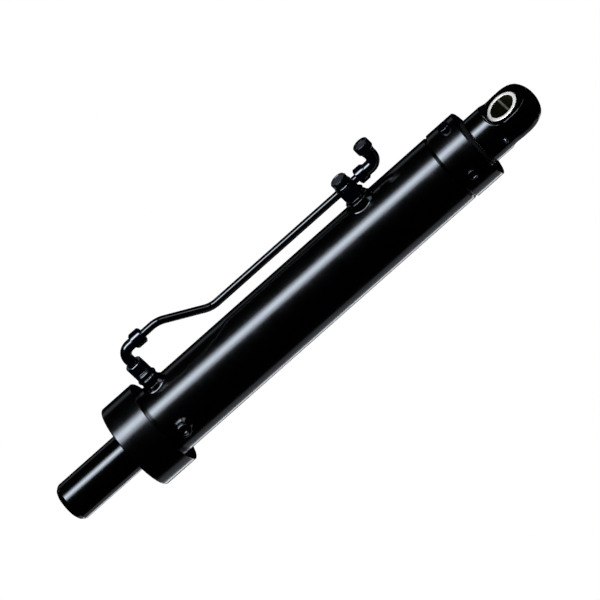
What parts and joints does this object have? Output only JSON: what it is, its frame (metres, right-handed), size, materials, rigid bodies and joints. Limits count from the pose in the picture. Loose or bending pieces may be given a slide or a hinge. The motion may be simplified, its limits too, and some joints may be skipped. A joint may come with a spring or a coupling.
{
  "type": "hydraulic cylinder",
  "caption": "Double-acting hydraulic cylinder with a round base spigot and collar, a rod eye with a steel bush, and a hard tube bringing the base port beside the rod port.",
  "frame": {"origin": "centre of the base spigot's free end face", "axes": "+X along the cylinder's axis from the spigot to the rod eye, +Z the way the oil ports point"},
  "size_m": [0.812, 0.128, 0.1881],
  "materials": {
    "black_paint": "gloss black paint",
    "fitting_black": "satin blue-black plating",
    "cap_black": "moulded black",
    "chrome_rod": "ground and chromed",
    "bright_steel": "turned",
    "dark_iron": "machined",
    "guide_bronze": "bronze filled",
    "seal_rubber": "matt",
    "guide_polymer": "matt"
  },
  "bodies": {
    "barrel": {"spigot_shaft": "black_paint", "base_cap": "black_paint", "base_cap_oring": "seal_rubber", "barrel_tube": "black_paint", "gland_body": "black_paint", "gland_oring": "seal_rubber", "gland_backup_ring": "guide_polymer", "rod_guide_ring": "guide_bronze", "rod_buffer_ring": "guide_polymer", "rod_seal": "seal_rubber", "rod_wiper": "seal_rubber", "gland_top_plug": "fitting_black", "gland_side_plug": "fitting_black", "base_port_boss": "black_paint", "base_port_adaptor": "fitting_black", "base_swivel_nut": "fitting_black", "base_elbow": "fitting_black", "base_tube_nut": "fitting_black", "transfer_tube": "black_paint", "outlet_tube_nut": "fitting_black", "outlet_elbow": "fitting_black", "outlet_cap": "cap_black", "rod_port_boss": "black_paint", "rod_port_adaptor": "fitting_black", "rod_port_cap": "cap_black", "tube_support": "black_paint", "bleed_boss": "black_paint", "bleed_plug": "fitting_black"},
    "piston_seals": {"piston_seal": "seal_rubber", "piston_wear_ring_rear": "guide_polymer", "piston_wear_ring_front": "guide_polymer"},
    "rod": {"piston_rod": "chrome_rod", "piston": "dark_iron", "piston_nut": "dark_iron", "stop_tube": "dark_iron", "rod_eye": "black_paint", "eye_bush": "bright_steel", "grease_nipple": "bright_steel"}
  },
  "joints": [
    {"name": "rod_slide", "type": "slide", "parent": "barrel", "child": "piston_seals", "axis": [1, 0, 0], "range_m": [0, 0.27]},
    {"name": "rod_spin", "type": "hinge", "parent": "piston_seals", "child": "rod", "pos_m": [0.5, 0, 0], "axis": [1, 0, 0], "continuous": true}
  ]
}
